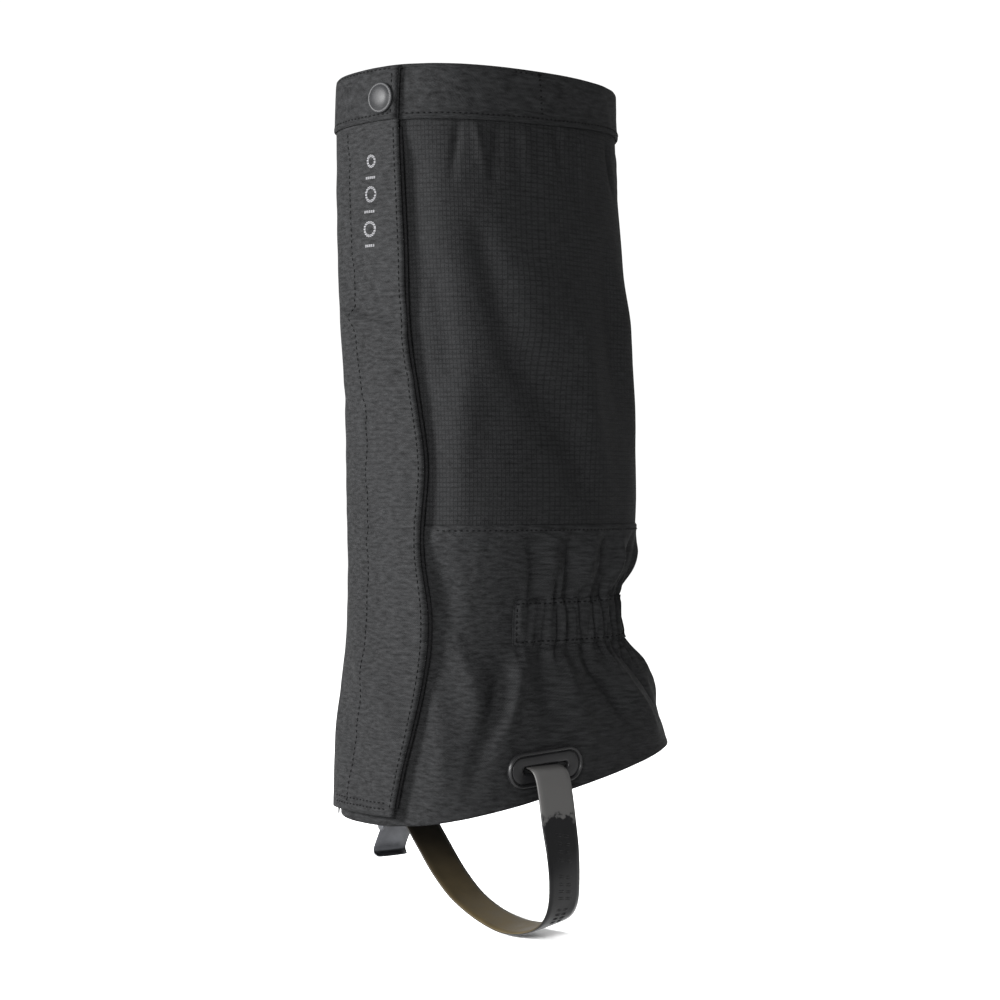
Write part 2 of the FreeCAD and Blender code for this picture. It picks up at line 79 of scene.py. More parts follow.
# free edge of the outer flap: height and place across the front
FREE_EDGE = [
    (-125, 26), (-83, 34), (-59, 38.5), (-30, 40.5), (5, 40), (45, 36.5), (88, 39.5),
    (123, 36.5), (165, 33), (218, 33), (285, 31), (330, 31.5),
]
RIM, BAND_SEAM, PANEL_SEAM = 319, 287, 57
FLAP_TOP, FLAP_FOOT = 317.5, -109
FLAP_ROOT = -50          # where the flap is sewn on, across the front
TAPE_TOP, TAPE_FOOT, TAPE_LEFT = 283, -104, -12
PANEL_RIGHT, PANEL_LEFT = 20.3, -35
SNAP_X, SNAP_Z, TAB_FACE = 21.5, 299.8, 6.3
CASING_HALF = 13.5
ELASTIC_START = 1.40
MEAN_RADIUS = 75         # turns an angle into millimetres round the leg
CLOTH = 0.7              # thickness of the visible cloth
RELIEF_LIMIT = 5.5
FOLD_GAIN, FLAP_FOLD_GAIN = 2.2, 2.3


def smooth(table, height):
    """The row of a table at any height, on a smooth curve through its rows."""
    last = len(table) - 2
    index = 0
    while index < last and table[index + 1][0] < height:
        index += 1
    low, high = table[index], table[index + 1]
    before = table[max(index - 1, 0)]
    after = table[min(index + 2, len(table) - 1)]
    step = high[0] - low[0]
    share = (height - low[0]) / step
    square = share * share
    cube = square * share
    row = []
    for column in range(1, len(low)):
        slope_low = (high[column] - before[column]) / (high[0] - before[0]) * step
        slope_high = (after[column] - low[column]) / (after[0] - low[0]) * step
        row.append((2 * cube - 3 * square + 1) * low[column]
                   + (cube - 2 * square + share) * slope_low
                   + (3 * square - 2 * cube) * high[column]
                   + (cube - square) * slope_high)
    return row


def ramp(value, low, high):
    """0 below low, 1 above high, smooth between."""
    share = min(max((value - low) / (high - low), 0), 1)
    return share * share * (3 - 2 * share)


def bump(distance, width):
    return math.exp(-(distance / width) ** 2)


def plain_point(height, offset, angle):
    """A point of the leg's section: blunt in front, elliptical behind."""
    front, back, half = smooth(SECTIONS, height)
    sine = math.sin(angle)
    cosine = math.cos(angle)
    if cosine > 0:
        power = 2 / BLUNTNESS
        across = math.copysign(abs(sine) ** power, sine)
        return Vector(((half + offset) * across, -(front + offset) * cosine ** power, height))
    return Vector(((half + offset) * sine, -(back + offset) * cosine, height))


def outward(height, angle):
    """The horizontal direction out of the leg."""
    step = plain_point(height, 0, angle + 0.02) - plain_point(height, 0, angle - 0.02)
    return Vector((step.y, -step.x, 0)).normalized()


def front_angle(height, offset, across):
    """The angle round the section of a place across the front."""
    half = smooth(SECTIONS, height)[2]
    sine = (min(abs(across) / (half + offset), 1)) ** (BLUNTNESS / 2)
    return math.copysign(math.asin(sine), across)


def hem_height(y):
    """The hem line, which rises from the instep to the heel."""
    share = (y + 83) / 224
    return -115.5 + 47 * share - 9.5 * share * share


def round_girth(angle):
    """About how far round the leg an angle is, for weave and gathers."""
    return angle * MEAN_RADIUS


# ---------- relief of the cloth
# Soft folds: angle and height of both ends, width and depth.
FOLDS = [
    # upper panel
    (62, 235, 78, 150, 9, -1.6), (78, 165, 96, 112, 11, -2.4), (96, 118, 108, 66, 9, -1.6),
    (50, 150, 46, 70, 16, 1.5), (88, 210, 92, 150, 13, 1.2), (104, 190, 116, 80, 9, 1.4),
    (122, 235, 130, 120, 8, -1.3), (40, 215, 47, 120, 9, -1.0), (140, 210, 150, 90, 12, 1.6),
    (170, 250, 165, 130, 14, -1.6), (196, 220, 204, 90, 12, 1.8), (232, 240, 224, 110, 11, -1.8),
    (262, 200, 256, 90, 12, 1.6), (290, 240, 296, 120, 10, -1.4),
    # puckers under the band
    (55, 285, 52, 262, 3.0, -0.8), (63, 285, 66, 266, 2.6, 0.7), (74, 285, 71, 255, 3.2, -0.9),
    (84, 285, 86, 262, 3.0, 0.8), (97, 285, 99, 268, 2.6, -0.7), (112, 285, 110, 258, 3.0, 0.7),
    (130, 285, 134, 262, 3.2, -0.8), (160, 285, 157, 260, 3.4, 0.8), (200, 285, 204, 262, 3, -0.8),
    (240, 285, 236, 258, 3.4, 0.8), (275, 285, 279, 262, 3, -0.8),
    # lower panel: long folds down to the hem
    (34, 40, 60, -20, 8, -1.6), (48, 20, 66, -70, 9, 1.7), (76, -18, 58, -92, 6, -2.1),
    (84, -18, 74, -60, 4.5, 1.9), (92, -18, 91, -66, 4, -1.8), (98, -18, 102, -72, 4.5, 1.8),
    (108, -18, 122, -62, 4.5, -2.0), (118, -18, 140, -70, 5, 2.0), (132, -18, 158, -62, 5, -2.2),
    (150, -18, 176, -60, 6, 2.2), (180, -18, 190, -62, 6, -2.2), (206, -18, 200, -60, 6, 2.2),
    (228, -18, 214, -66, 5, -2.2), (248, -18, 240, -62, 5, 2.0), (266, -18, 262, -70, 5, -2.0),
    (278, -18, 290, -80, 6, 2.0), (38, -30, 44, -95, 8, 1.2),
    # between the seam and the elastic
    (86, 50, 90, 18, 4, -1.5), (94, 46, 93, 18, 3.4, 1.5), (101, 52, 104, 18, 4, -1.8),
    (110, 46, 111, 18, 3.6, 1.6), (119, 50, 122, 18, 4, -1.9), (130, 44, 131, 18, 4, 1.8),
    (142, 48, 140, 18, 4, -1.8), (156, 46, 154, 18, 4, 1.8), (170, 48, 172, 18, 4, -1.9),
    (186, 46, 185, 18, 4, 1.8), (202, 48, 204, 18, 4, -1.8), (218, 46, 216, 18, 4, 1.8),
    (236, 50, 234, 18, 4, -1.8), (252, 46, 254, 18, 4, 1.7), (268, 50, 264, 18, 4, -1.6),
]


def fold_depth(place, height):
    """The sum of the listed folds at a place round the leg."""
    total = 0
    for turn_a, height_a, turn_b, height_b, width, depth in FOLDS:
        if not min(height_a, height_b) - 30 < height < max(height_a, height_b) + 30:
            continue
        ax = round_girth(math.radians(turn_a))
        bx = round_girth(math.radians(turn_b))
        along = Vector((bx - ax, height_b - height_a))
        reach = along.length
        along /= reach
        offset = Vector((place - ax, height - height_a))
        travelled = offset.dot(along)
        aside = abs(offset.x * along.y - offset.y * along.x)
        if aside > 3 * width:
            continue
        ends = ramp(travelled, -8, reach * 0.3) * (1 - ramp(travelled, reach * 0.6, reach + 16))
        total += FOLD_GAIN * depth * ends * bump(aside, width)
    return total


def gathers(place, height, angle):
    """Small pleats where the elastic draws the cloth in."""
    behind = ramp(angle, ELASTIC_START - 0.1, ELASTIC_START + 0.25)
    behind *= 1 - ramp(angle, TAU - ELASTIC_START - 0.25, TAU - ELASTIC_START + 0.1)
    if behind <= 0:
        return 0
    wander = 2.6 * noise.noise(Vector((place / 23, height / 30, 5)))
    beat = noise.noise(Vector((place / 14, 0.5, 11)))
    pleats = math.sin(TAU * (place + wander) / 9.2 + 2 * beat)
    small = math.sin(TAU * (place - wander) / 5.3 + 3 * beat)
    near = bump(max(abs(height) - CASING_HALF, 0), 15)
    inside = 1 - ramp(abs(height), CASING_HALF - 3, CASING_HALF + 3)
    seam = bump(max(abs(height) - CASING_HALF, 0), 7) * (1 - inside)
    tight = math.sin(TAU * (place + 0.5 * wander) / 6.1 + 3 * beat)
    return behind * (near * (1.5 - 0.5 * inside) * pleats + 0.6 * near * small
                     + 0.9 * seam * tight)


def relief(height, angle):
    """How far the cloth stands out of the plain leg shape."""
    place = round_girth(angle)
    broad = noise.noise(Vector((place / 46, height / 95, 1.7)))
    middle = noise.noise(Vector((place / 21, height / 44, 8.1)))
    fine = noise.noise(Vector((place / 8, height / 14, 3.3)))
    calm = ramp(abs(height - BAND_SEAM - 16), 10, 40)
    lower = 1 - ramp(height, PANEL_SEAM - 25, PANEL_SEAM + 25)
    total = calm * (1.5 * broad + 0.7 * middle) + (0.12 + 0.25 * lower) * fine
    total += fold_depth(place, height) + gathers(place, height, angle)
    return max(min(total, RELIEF_LIMIT), -RELIEF_LIMIT)


def tube_point(height, offset, angle):
    """A point of the cloth with its folds."""
    # the cloth lies flat round the eyelet, and calms towards the hem
    eyelet = bump(height + 82.6, 17) * bump(math.degrees(angle) - 88, 22)
    hem_calm = 1 - 0.4 * bump(height + 100, 24)
    amount = relief(height, angle) * (1 - 0.93 * eyelet) * hem_calm
    # the flap and its underlap stay flatter
    frontal = ramp(abs(math.atan2(math.sin(angle), math.cos(angle))), 0.3, 0.65)
    amount *= 0.25 + 0.75 * frontal
    point = plain_point(height, offset, angle)
    if math.cos(angle) > 0 and point.x > 0 and height < BAND_SEAM:
        # the cloth dips beside the flap's free edge, where the tape ends
        beside = point.x - smooth(FREE_EDGE, height)[0]
        amount -= 3.2 * bump(beside - 3, 9) * ramp(BAND_SEAM - height, 2, 26)
        if beside < 0:
            amount = min(amount, 0.1)
    return point + outward(height, angle) * amount


# ---------- mesh making


def link(mesh, name, body):
    obj = bpy.data.objects.new(name, mesh)
    bpy.context.scene.collection.objects.link(obj)
    if body:
        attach(obj, body)
    return obj


def shade_smooth(mesh):
    for polygon in mesh.polygons:
        polygon.use_smooth = True


def grid_mesh(name, point, columns, rows, size_of):
    """A sheet from point(u, v); size_of gives the weave's place in millimetres."""
    verts = []
    places = []
    for row in range(rows + 1):
        for column in range(columns + 1):
            u = column / columns
            v = row / rows
            verts.append(point(u, v) * MM)
            places.append(size_of(u, v))
    width = columns + 1
    faces = []
    for row in range(rows):
        for column in range(columns):
            a = row * width + column
            faces.append((a, a + 1, a + 1 + width, a + width))
    mesh = bpy.data.meshes.new(name)
    mesh.from_pydata(verts, [], faces)
    layer = mesh.uv_layers.new(name="weave")
    for loop in mesh.loops:
        x, y = places[loop.vertex_index]
        layer.data[loop.index].uv = (x * MM, y * MM)
    shade_smooth(mesh)
    mesh.update()
    return mesh


def sheet_piece(name, body, point, columns, rows, size_of, material, thickness=CLOTH):
    obj = link(grid_mesh(name, point, columns, rows, size_of), name, body)
    thick = obj.modifiers.new("thickness", "SOLIDIFY")
    thick.thickness = thickness * MM
    thick.offset = -1
    thick.use_even_offset = False
    obj.data.materials.append(material)
    return obj


def solid_from_rings(name, body, rings, material, closed=False):
    """A solid skinned over rings of points; a closed one joins its last ring to its first."""
    verts = [point * MM for ring in rings for point in ring]
    count = len(rings[0])
    faces = []
    spans = len(rings) if closed else len(rings) - 1
    for index in range(spans):
        low = index * count
        high = ((index + 1) % len(rings)) * count
        for step in range(count):
            after = (step + 1) % count
            faces.append((low + step, low + after, high + after, high + step))
    if not closed:
        faces.append(tuple(reversed(range(count))))
        faces.append(tuple(range((len(rings) - 1) * count, len(rings) * count)))
    mesh = bpy.data.meshes.new(name)
    mesh.from_pydata(verts, [], faces)
    shade_smooth(mesh)
    mesh.update()
    obj = link(mesh, name, body)
    obj.data.materials.append(material)
    return obj


def stitches(name, body, lines, material, long=2.2, gap=1.2, thick=0.46):
    """Short raised threads laid along lines of (point, outward) pairs."""
    verts = []
    faces = []
    for line in lines:
        lengths = [0]
        for (a, _), (b, _) in zip(line, line[1:]):
            lengths.append(lengths[-1] + (b - a).length)
        start = 0.3
        segment = 0
        while start + long < lengths[-1]:
            ends = []
            for distance in (start, start + long / 2, start + long):
                while lengths[segment + 1] < distance:
                    segment += 1
                span = lengths[segment + 1] - lengths[segment]
                share = (distance - lengths[segment]) / span
                a, b = line[segment], line[segment + 1]
                ends.append((a[0].lerp(b[0], share), a[1].lerp(b[1], share).normalized()))
            add_thread(verts, faces, ends, thick)
            start += long + gap
            while segment > 0 and lengths[segment] > start:
                segment -= 1
    mesh = bpy.data.meshes.new(name)
    mesh.from_pydata([v * MM for v in verts], [], faces)
    shade_smooth(mesh)
    obj = link(mesh, name, body)
    obj.data.materials.append(material)
    return obj


def add_thread(verts, faces, ends, thick):
    """One stitch: dips into the cloth at both ends and stands up in the middle."""
    along = (ends[-1][0] - ends[0][0]).normalized()
    rings = []
    for share in (0, 0.14, 0.5, 0.86, 1):
        if share < 0.5:
            centre = ends[0][0].lerp(ends[1][0], share * 2)
            up = ends[0][1]
        else:
            centre = ends[1][0].lerp(ends[2][0], share * 2 - 1)
            up = ends[2][1]
        lift = -thick * 0.5 + thick * math.sin(math.pi * share)
        radius = thick * (0.45 + 0.45 * math.sin(math.pi * share))
        side = along.cross(up).normalized()
        rings.append([centre + up * lift + (side * math.cos(turn) + up * math.sin(turn)) * radius
                      for turn in (TAU * k / 6 for k in range(6))])
    base = len(verts)
    for ring in rings:
        verts.extend(ring)
    for index in range(len(rings) - 1):
        for step in range(6):
            a = base + index * 6 + step
            b = base + index * 6 + (step + 1) % 6
            faces.append((a, b, b + 6, a + 6))
    faces.append(tuple(base + k for k in reversed(range(6))))
    faces.append(tuple(base + (len(rings) - 1) * 6 + k for k in range(6)))


# ---------- materials


def new_material(name, colour, roughness, metallic=0.0, specular=0.025):
    material = bpy.data.materials.new(name)
    material.use_nodes = True
    shader = material.node_tree.nodes["Principled BSDF"]
    shader.inputs["Base Color"].default_value = (*colour, 1)
    shader.inputs["Roughness"].default_value = roughness
    shader.inputs["Metallic"].default_value = metallic
    shader.inputs["Specular IOR Level"].default_value = specular
    return material, shader


class Nodes:
    """Short calls for building a node tree."""

    def __init__(self, material):
        self.tree = material.node_tree

    def add(self, kind, **values):
        node = self.tree.nodes.new(kind)
        for key, value in values.items():
            setattr(node, key, value)
        return node

    def join(self, source, target):
        self.tree.links.new(source, target)

    def math(self, operation, first, second=None):
        node = self.add("ShaderNodeMath", operation=operation)
        for socket, value in zip(node.inputs, (first, second)):
            if value is None:
                continue
            if isinstance(value, (int, float)):
                socket.default_value = value
            else:
                self.join(value, socket)
        return node.outputs[0]

    def noise(self, vector, scale, detail=2.0, roughness=0.5):
        node = self.add("ShaderNodeTexNoise")
        node.inputs["Scale"].default_value = scale
        node.inputs["Detail"].default_value = detail
        node.inputs["Roughness"].default_value = roughness
        self.join(vector, node.inputs["Vector"])
        return node.outputs["Fac"]

    def ramp(self, factor, low, high, dark, light):
        node = self.add("ShaderNodeMapRange")
        node.inputs["From Min"].default_value = low
        node.inputs["From Max"].default_value = high
        node.inputs["To Min"].default_value = dark
        node.inputs["To Max"].default_value = light
        self.join(factor, node.inputs["Value"])
        return node.outputs["Result"]

    def blend(self, first, second, factor):
        """A colour between two colours or sockets."""
        node = self.add("ShaderNodeMix", data_type="RGBA")
        for socket, colour in ((node.inputs[6], first), (node.inputs[7], second)):
            if isinstance(colour, tuple):
                socket.default_value = (*colour, 1)
            else:
                self.join(colour, socket)
        self.join(factor, node.inputs["Factor"])
        return node.outputs[2]

    def bump(self, shader, height, strength, depth):
        """Fine relief on a shader, depth in millimetres."""
        node = self.add("ShaderNodeBump")
        node.inputs["Strength"].default_value = strength
        node.inputs["Distance"].default_value = depth * MM
        self.join(height, node.inputs["Height"])
        self.join(node.outputs[0], shader.inputs["Normal"])


def thread_wave(nodes, coordinate, pitch):
    """A ridge for each thread, pitch millimetres apart."""
    turns = nodes.math("MULTIPLY", coordinate, TAU / (pitch * MM))
    return nodes.math("SINE", turns)


def cloth_material(name, colour, pitch, depth, grid=None, slant=0.0, roughness=0.7, slub=0.0):
    """Woven cloth: crossing threads, an optional ripstop grid and slow colour changes."""
    material, shader = new_material(name, colour, roughness)
    nodes = Nodes(material)
    weave = nodes.add("ShaderNodeUVMap", uv_map="weave")
    parts = nodes.add("ShaderNodeSeparateXYZ")
    nodes.join(weave.outputs["UV"], parts.inputs[0])
    across, along = parts.outputs[0], parts.outputs[1]
    slanted = nodes.math("ADD", across, nodes.math("MULTIPLY", along, slant))
    warp = thread_wave(nodes, slanted, pitch)
    weft = thread_wave(nodes, along, pitch * 0.92)
    threads = nodes.math("MULTIPLY", nodes.math("ADD", nodes.math("MULTIPLY", warp, weft), 1), 0.5)
    position = nodes.add("ShaderNodeTexCoord").outputs["Object"]
    cloud = nodes.noise(position, 16, 4, 0.6)
    speck = nodes.noise(position, 900, 2, 0.6)
    height = nodes.math("ADD", threads, nodes.math("MULTIPLY", speck, 0.5))
    tone = nodes.math("ADD", nodes.ramp(threads, 0, 1, 0.72, 1.16),
                      nodes.ramp(cloud, 0.3, 0.7, -0.10, 0.12))
    tone = nodes.math("ADD", tone, nodes.ramp(speck, 0.3, 0.7, -0.10, 0.10))
    if slub:
        # thick and thin weft threads show as short streaks across the cloth
        stretched = nodes.add("ShaderNodeCombineXYZ")
        nodes.join(nodes.math("MULTIPLY", slanted, 150), stretched.inputs[0])
        nodes.join(nodes.math("MULTIPLY", along, 560), stretched.inputs[1])
        streaks = nodes.noise(stretched.outputs[0], 1.0, 3, 0.65)
        tone = nodes.math("ADD", tone, nodes.ramp(streaks, 0.32, 0.68, -slub, slub))
        height = nodes.math("ADD", height, nodes.ramp(streaks, 0.3, 0.7, 0, 2.2))
    if grid:
        lines = None
        for coordinate in (across, along):
            cell = nodes.math("FRACT", nodes.math("MULTIPLY", coordinate, 1 / (grid * MM)))
            middle = nodes.math("ABSOLUTE", nodes.math("SUBTRACT", cell, 0.5))
            line = nodes.ramp(middle, 0.30, 0.45, 0, 1)
            lines = line if lines is None else nodes.math("MAXIMUM", lines, line)
        tone = nodes.math("ADD", tone, nodes.math("MULTIPLY", lines, -0.32))
        height = nodes.math("ADD", height, nodes.math("MULTIPLY", lines, 1.3))
    tint = nodes.add("ShaderNodeMix", data_type="RGBA", blend_type="MULTIPLY")
    tint.inputs["Factor"].default_value = 1
    tint.inputs[6].default_value = (*colour, 1)
    grey = nodes.add("ShaderNodeCombineColor")
    for socket in grey.inputs[:3]:
        nodes.join(tone, socket)
    nodes.join(grey.outputs[0], tint.inputs[7])
    nodes.join(tint.outputs[2], shader.inputs["Base Color"])
    nodes.join(nodes.ramp(cloud, 0.3, 0.7, roughness - 0.08, roughness + 0.08),
               shader.inputs["Roughness"])
    nodes.bump(shader, height, 0.55, depth)
    return material


def moulded_material(name, colour, roughness, grain, metallic=0.0, wear=0.0, specular=0.5):
    """Plastic, rubber or metal with fine grain and slow changes of gloss."""
    material, shader = new_material(name, colour, roughness, metallic, specular=specular)
    nodes = Nodes(material)
    position = nodes.add("ShaderNodeTexCoord").outputs["Object"]
    cloud = nodes.noise(position, 60, 4, 0.6)
    nodes.join(nodes.ramp(cloud, 0.3, 0.7, max(roughness - 0.07, 0.03), roughness + 0.09),
               shader.inputs["Roughness"])
    dark = tuple(c * 0.75 for c in colour)
    light = tuple(c * (1.2 + wear) for c in colour)
    nodes.join(nodes.blend(dark, light, nodes.ramp(cloud, 0.35, 0.65, 0, 1)),
               shader.inputs["Base Color"])
    nodes.bump(shader, nodes.noise(position, grain, 3, 0.6), 0.25, 0.1)
    return material


def strap_material():
    """A coated strap, black and glossy outside, warmer and duller on its inner face."""
    material, shader = new_material("strap", (0.003, 0.003, 0.003), 0.22, specular=0.07)
    nodes = Nodes(material)
    position = nodes.add("ShaderNodeTexCoord").outputs["Object"]
    face = nodes.add("ShaderNodeAttribute", attribute_name="inner").outputs["Fac"]
    low = nodes.add("ShaderNodeAttribute", attribute_name="rubbed").outputs["Fac"]
    # mask of the painted highlight: grey painted on the top of the strap's outer face
    sheen_mask = nodes.add("ShaderNodeAttribute", attribute_name="painted_sheen").outputs["Fac"]
    cloud = nodes.noise(position, 90, 4, 0.6)
    rub = nodes.math("MULTIPLY", low, nodes.ramp(cloud, 0.3, 0.7, 0.65, 1.0))
    warm = nodes.blend((0.0026, 0.0024, 0.0021), (0.026, 0.0195, 0.0095), rub)
    tint = nodes.blend((0.0028, 0.0028, 0.003), warm, face)
    # painted highlight: the top of the outer face, which tilts up and outwards, is painted grey for
    # the light it reflects, ending in a ragged line
    ragged = nodes.ramp(nodes.noise(position, 260, 3), 0.3, 0.7, -0.14, 0.14)
    sheen_paint = nodes.ramp(nodes.math("ADD", sheen_mask, ragged), 0.46, 0.56, 0, 1)
    nodes.join(nodes.blend(tint, (0.026, 0.0255, 0.025), sheen_paint), shader.inputs["Base Color"])
    gloss = nodes.ramp(cloud, 0.3, 0.7, 0.14, 0.26)
    dull = nodes.math("MULTIPLY", nodes.math("MAXIMUM", face, sheen_paint), 0.24)
    nodes.join(nodes.math("ADD", gloss, dull), shader.inputs["Roughness"])
    nodes.bump(shader, nodes.noise(position, 1400, 2), 0.2, 0.1)
    return material


CHARCOAL = (0.0052, 0.0053, 0.0055)
WEBBING_GREY = (0.009, 0.009, 0.010)
ripstop = cloth_material("ripstop", CHARCOAL, 0.62, 0.14, grid=2.7, slub=0.22)
pack_cloth = cloth_material("pack_cloth", CHARCOAL, 1.0, 0.22, slant=0.35, slub=0.48)
# painted light: the flap's cloth is a little lighter than the panels' charcoal, standing in for
# part of the stronger light that falls on the flap
flap_cloth = cloth_material("flap_cloth", (0.0060, 0.0061, 0.0063), 1.2, 0.24,
                            slant=0.2, slub=0.46)
tape_cloth = cloth_material("tape", (0.0045, 0.0045, 0.0047), 0.8, 0.6, roughness=0.9, slub=0.3)
elastic_cloth = cloth_material("elastic", WEBBING_GREY, 1.4, 0.5)
webbing = cloth_material("webbing", WEBBING_GREY, 1.6, 0.5)
thread = cloth_material("thread", (0.0010, 0.0010, 0.0011), 0.5, 0.05, roughness=0.6)
motif_thread = cloth_material("motif_thread", (0.075, 0.075, 0.078), 0.5, 0.05, roughness=0.5)
moulded = moulded_material("moulded", (0.0028, 0.0028, 0.003), 0.36, 1500, specular=0.12)
snap_metal = moulded_material("snap_metal", (0.0045, 0.0046, 0.005), 0.42, 2500,
                              specular=0.08)
steel = moulded_material("steel", (0.035, 0.036, 0.039), 0.40, 3000, metallic=1.0, wear=0.3)
strap_rubber = strap_material()

# ---------- cloth tube


def panel(name, start, end, foot, top, columns, rows, material, offset, edge=None):
    """A sheet of the tube between two angles and two height rules."""
    def place(u, v):
        height = foot(0) + (top(0) - foot(0)) * v
        for _ in range(3):
            low = start(height)
            angle = low + (end(height) - low) * u
            y = plain_point(height, 0, angle).y
            height = foot(y) + (top(y) - foot(y)) * v
        return height, angle

    def point(u, v):
        height, angle = place(u, v)
        lift = edge(u, v, height) if edge else 0
        return tube_point(height, offset + lift, angle)

    def size_of(u, v):
        height, angle = place(u, v)
        return round_girth(angle), height

    return sheet_piece(name, GAITER, point, columns, rows, size_of, material)


def level(number):
    return lambda y: number


def at_front(across):
    return lambda height: front_angle(height, 1, across)


def round_back(across):
    return lambda height: TAU + front_angle(height, 1, across)


AROUND = 260
CASING_COLUMNS = 360

upper = panel("upper_panel_cloth", at_front(PANEL_RIGHT), round_back(PANEL_LEFT),
              level(PANEL_SEAM - 3), level(RIM - 1), AROUND, 130, ripstop, 0.75)
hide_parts("upper_panel")


def lower_edge(u, v, height):
    """The lower panel laps over the upper one and turns under at the hem."""
    lap = 0.95 * ramp(v, 0.9, 0.96)
    roll = -0.9 * ramp(v, 0.993, 1.0)
    return lap + roll + 0.5 * bump(v, 0.02)


lower = panel("lower_panel_cloth", at_front(PANEL_RIGHT), round_back(PANEL_LEFT),
              hem_height, level(PANEL_SEAM), AROUND, 110, pack_cloth, 0.9, lower_edge)
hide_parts("lower_panel")

underlap = panel("underlap_cloth", at_front(-36.5), at_front(27), hem_height,
                 level(RIM - 1), 40, 160, pack_cloth, 0.05)
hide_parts("underlap")

facing = panel("hem_facing_cloth", at_front(40.3), round_back(PANEL_LEFT),
               lambda y: hem_height(y) + 0.4, lambda y: hem_height(y) + 14, AROUND, 10,
               pack_cloth, -0.4)
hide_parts("hem_facing")

# ---------- top band
# offset and height: up the outside, over the rim and down the inside
BAND_PROFILE = [
    (1.0, 287.2), (1.9, 287.0), (2.5, 287.6), (2.6, 289.2), (2.1, 291.0), (1.9, 295),
    (2.0, 302), (2.0, 309), (1.9, 315), (1.7, 317.6), (1.0, 318.9), (0.1, 319.0),
    (-0.7, 318.2), (-0.9, 315), (-0.9, 300), (-0.9, 289),
]
BAND_START, BAND_END = at_front(-33.5), round_back(-44.3)
BAND_LENGTH = 470


def along_profile(profile, share_of):
    """The offset and height at a share of a folded sheet's profile."""
    spot = share_of * (len(profile) - 1)
    index = min(int(spot), len(profile) - 2)
    share = spot - index
    low, high = profile[index], profile[index + 1]
    return (low[0] * (1 - share) + high[0] * share, low[1] * (1 - share) + high[1] * share)


def band_point(u, v):
    offset, height = along_profile(BAND_PROFILE, v)
    angle = BAND_START(height) + (BAND_END(height) - BAND_START(height)) * u
    offset += 0.5 * noise.noise(Vector((u * 30, height / 11, 2)))
    offset += 0.9 * bump(height - 303, 11) * noise.noise(Vector((u * 13, height / 30, 7)))
    # the seam climbs a little behind the calf
    height += 4.5 * bump(math.degrees(angle) - 140, 42) * (RIM - height) / (RIM - BAND_SEAM)
    return tube_point(height, offset, angle)


band = sheet_piece("top_band_cloth", GAITER, band_point, AROUND, 45,
                   lambda u, v: (u * BAND_LENGTH, v * 66), pack_cloth, 0.5)
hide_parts("top_band", "band_facing")

# ---------- ankle elastic


def casing_point(bulge, lift, half, margin):
    """A rule for a sheet round the ankle that swells between its seams and is ruched."""
    def point(u, v):
        angle = ELASTIC_START + margin + (TAU - 2 * (ELASTIC_START + margin)) * u
        height = half * (2 * v - 1)
        height += 0.7 * (2 * v - 1) * noise.noise(Vector((angle * 16, 0.3, 9)))
        swell = bulge * (1 - (2 * v - 1) ** 4) * min(1, u * 120, (1 - u) * 120)
        ruche = math.sin(TAU * round_girth(angle) / 5.4
                         + 3 * noise.noise(Vector((angle * 9, height / 26, 4))))
        seam = bump(abs(height) - 11.2, 1.3)
        return tube_point(height, lift + swell * (1 - 0.55 * seam) + ruche * bulge * 0.42, angle)
    return point


def casing_size(u, v):
    return u * 330, v * 27


casing_spot = casing_point(1.5, 1.35, CASING_HALF, 0)
casing = sheet_piece("ankle_casing_cloth", GAITER, casing_spot, CASING_COLUMNS, 20,
                     casing_size, pack_cloth, 0.4)
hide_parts("ankle_casing")
elastic = sheet_piece("ankle_elastic_band", GAITER, casing_point(0.0, 1.25, 11, 0.02),
                      180, 6, casing_size, elastic_cloth, 0.3)
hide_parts("ankle_elastic")

# ---------- outer flap
FLAP_FOLDS = [
    # across, height at both ends, width, depth
    (-22, 205, 34, 172, 7, -1.3), (-26, 192, 20, 150, 5, 1.0), (-34, 132, 2, 120, 4.5, -1.5),
    (0, 128, 34, 140, 5, -1.0), (-20, 96, 30, 70, 10, 1.0), (-30, 40, 32, 22, 8, -1.0),
    (-10, -20, 30, -60, 8, 1.2), (-30, -40, 10, -95, 7, -1.1), (-20, 268, 25, 262, 6, -0.5),
    (4, 240, 26, 120, 9, 0.8), (10, 20, 28, -40, 7, -0.8),
    (-30, 187, 24, 177, 2.6, -0.8), (-28, 182, 20, 169, 2.8, 0.8), (-32, 60, 6, 52, 3.0, -0.7),
    (0, 46, 34, 58, 3.0, 0.7), (-30, -62, 4, -74, 3.0, -0.8),
]


def flap_edge(height):
    return smooth(FREE_EDGE, height)[0]


def flap_relief(across, height):
    total = 0.8 * noise.noise(Vector((across / 24, height / 42, 6.6)))
    total += 0.3 * noise.noise(Vector((across / 9, height / 13, 2.2)))
    for xa, za, xb, zb, width, depth in FLAP_FOLDS:
        along = Vector((xb - xa, zb - za))
        reach = along.length
        along /= reach
        offset = Vector((across - xa, height - za))
        travelled = offset.dot(along)
        aside = abs(offset.x * along.y - offset.y * along.x)
        if aside < 3 * width:
            ends = ramp(travelled, -6, 8) * (1 - ramp(travelled, reach - 8, reach + 6))
            total += FLAP_FOLD_GAIN * depth * ends * bump(aside, width)
    return total


def flap_across(share, height):
    return FLAP_ROOT + (flap_edge(height) - FLAP_ROOT) * share


def flap_height(v):
    return FLAP_FOOT + (FLAP_TOP - FLAP_FOOT) * v


